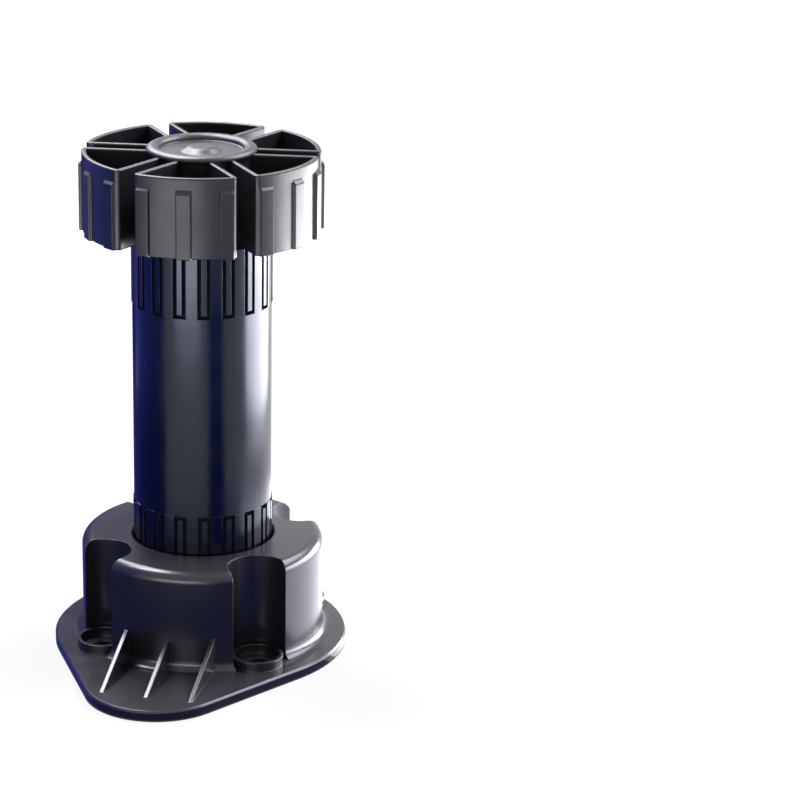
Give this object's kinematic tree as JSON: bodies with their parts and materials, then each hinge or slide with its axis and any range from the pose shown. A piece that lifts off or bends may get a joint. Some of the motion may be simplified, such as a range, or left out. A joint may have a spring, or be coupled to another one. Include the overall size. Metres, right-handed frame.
{
  "type": "furniture leg",
  "caption": "Adjustable plastic furniture leg: a tube pushed into a flanged socket plate with screw pockets and gussets, and a lobed foot on a screw spindle.",
  "frame": {"origin": "on the leg's axis, in the fixing face of the mounting plate", "axes": "+Z along the leg from the mounting plate to the adjusting foot; the plate's nose points to -Y"},
  "size_m": [0.074, 0.0912, 0.1287],
  "materials": {
    "plate_plastic": "satin black moulding",
    "tube_plastic": "satin black moulding",
    "foot_plastic": "satin black moulding"
  },
  "bodies": {
    "plate_body": {"mounting_plate": "plate_plastic"},
    "tube_body": {"leg_tube": "tube_plastic"},
    "foot_body": {"adjusting_foot": "foot_plastic"}
  },
  "joints": [
    {"name": "tube_pull_out", "type": "slide", "parent": "plate_body", "child": "tube_body", "axis": [0, 0, 1], "range_m": [0, 0.04]},
    {"name": "height_adjustment", "type": "slide", "parent": "tube_body", "child": "foot_body", "axis": [0, 0, 1], "range_m": [0, 0.03]}
  ]
}
